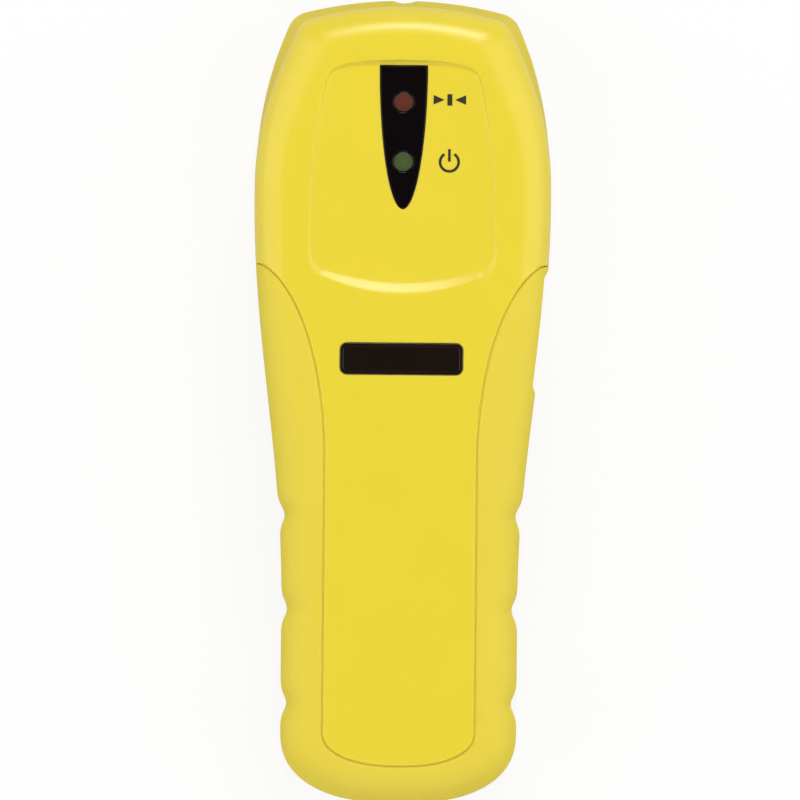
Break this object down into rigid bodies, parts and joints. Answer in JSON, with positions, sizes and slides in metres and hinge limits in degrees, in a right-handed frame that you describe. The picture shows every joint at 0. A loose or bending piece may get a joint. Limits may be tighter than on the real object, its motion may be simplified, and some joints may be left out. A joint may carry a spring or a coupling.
{
  "type": "stud finder",
  "caption": "Hand-held electronic stud finder with a wide sensing head, recessed display panel, tapered window, side button, scalloped grip and sliding battery door.",
  "frame": {"origin": "middle of the overall box, on the flat sensing back that the tool lies on", "axes": "+Y towards the marking end, +X to the right seen from the front, +Z out of the front face"},
  "size_m": [0.0592, 0.1606, 0.0312],
  "materials": {
    "front_abs": "fine moulded texture",
    "rear_abs": "fine moulded texture",
    "button_abs": "fine moulded texture",
    "window_acrylic": "smoked, polished",
    "red_epoxy": "clear red, polished",
    "green_epoxy": "clear green, polished",
    "badge_abs": "smooth",
    "black_nylon": "as moulded",
    "black_epoxy": "as moulded",
    "zinc_steel": "zinc plated",
    "glass_epoxy_board": "solder mask",
    "copper_foil": "bare copper",
    "capacitor_sleeve": "shrunk sleeve",
    "ceramic": "fired ceramic",
    "white_acetal": "as moulded",
    "battery_jacket": "printed jacket, left bare",
    "nickel": "nickel plated",
    "black_vinyl": "soft vinyl",
    "red_vinyl": "soft vinyl"
  },
  "bodies": {
    "housing": {"rear_shell": "rear_abs", "front_shell": "front_abs", "display_lens": "window_acrylic", "red_edge_led": "red_epoxy", "green_power_led": "green_epoxy", "led_spacer": "black_nylon", "badge_plate": "badge_abs", "case_screws": "zinc_steel", "sensor_board": "glass_epoxy_board", "sensor_electrodes": "copper_foil", "controller_chip": "black_epoxy", "filter_capacitor": "capacitor_sleeve", "surface_mount_parts": "ceramic", "piezo_buzzer": "black_nylon", "switch_body": "black_nylon", "board_screws": "zinc_steel", "battery_can": "battery_jacket", "battery_terminals": "nickel", "snap_connector": "black_vinyl", "snap_contacts": "nickel", "positive_lead": "red_vinyl", "negative_lead": "black_vinyl"},
    "button": {"activation_button": "button_abs"},
    "plunger": {"switch_plunger": "white_acetal"},
    "door": {"battery_door": "rear_abs"}
  },
  "joints": [
    {"name": "button_press", "type": "slide", "parent": "housing", "child": "button", "axis": [-1, 0, 0], "range_m": [0, 0.001], "stiffness_N_per_m": 800},
    {"name": "plunger_press", "type": "slide", "parent": "housing", "child": "plunger", "axis": [-1, 0, 0], "range_m": [0, 0.001]},
    {"name": "door_slide", "type": "slide", "parent": "housing", "child": "door", "axis": [0, -1, 0], "range_m": [0, 0.055]}
  ],
  "couplings": [
    {"joint": "plunger_press", "follows": "button_press", "ratio": 1}
  ]
}
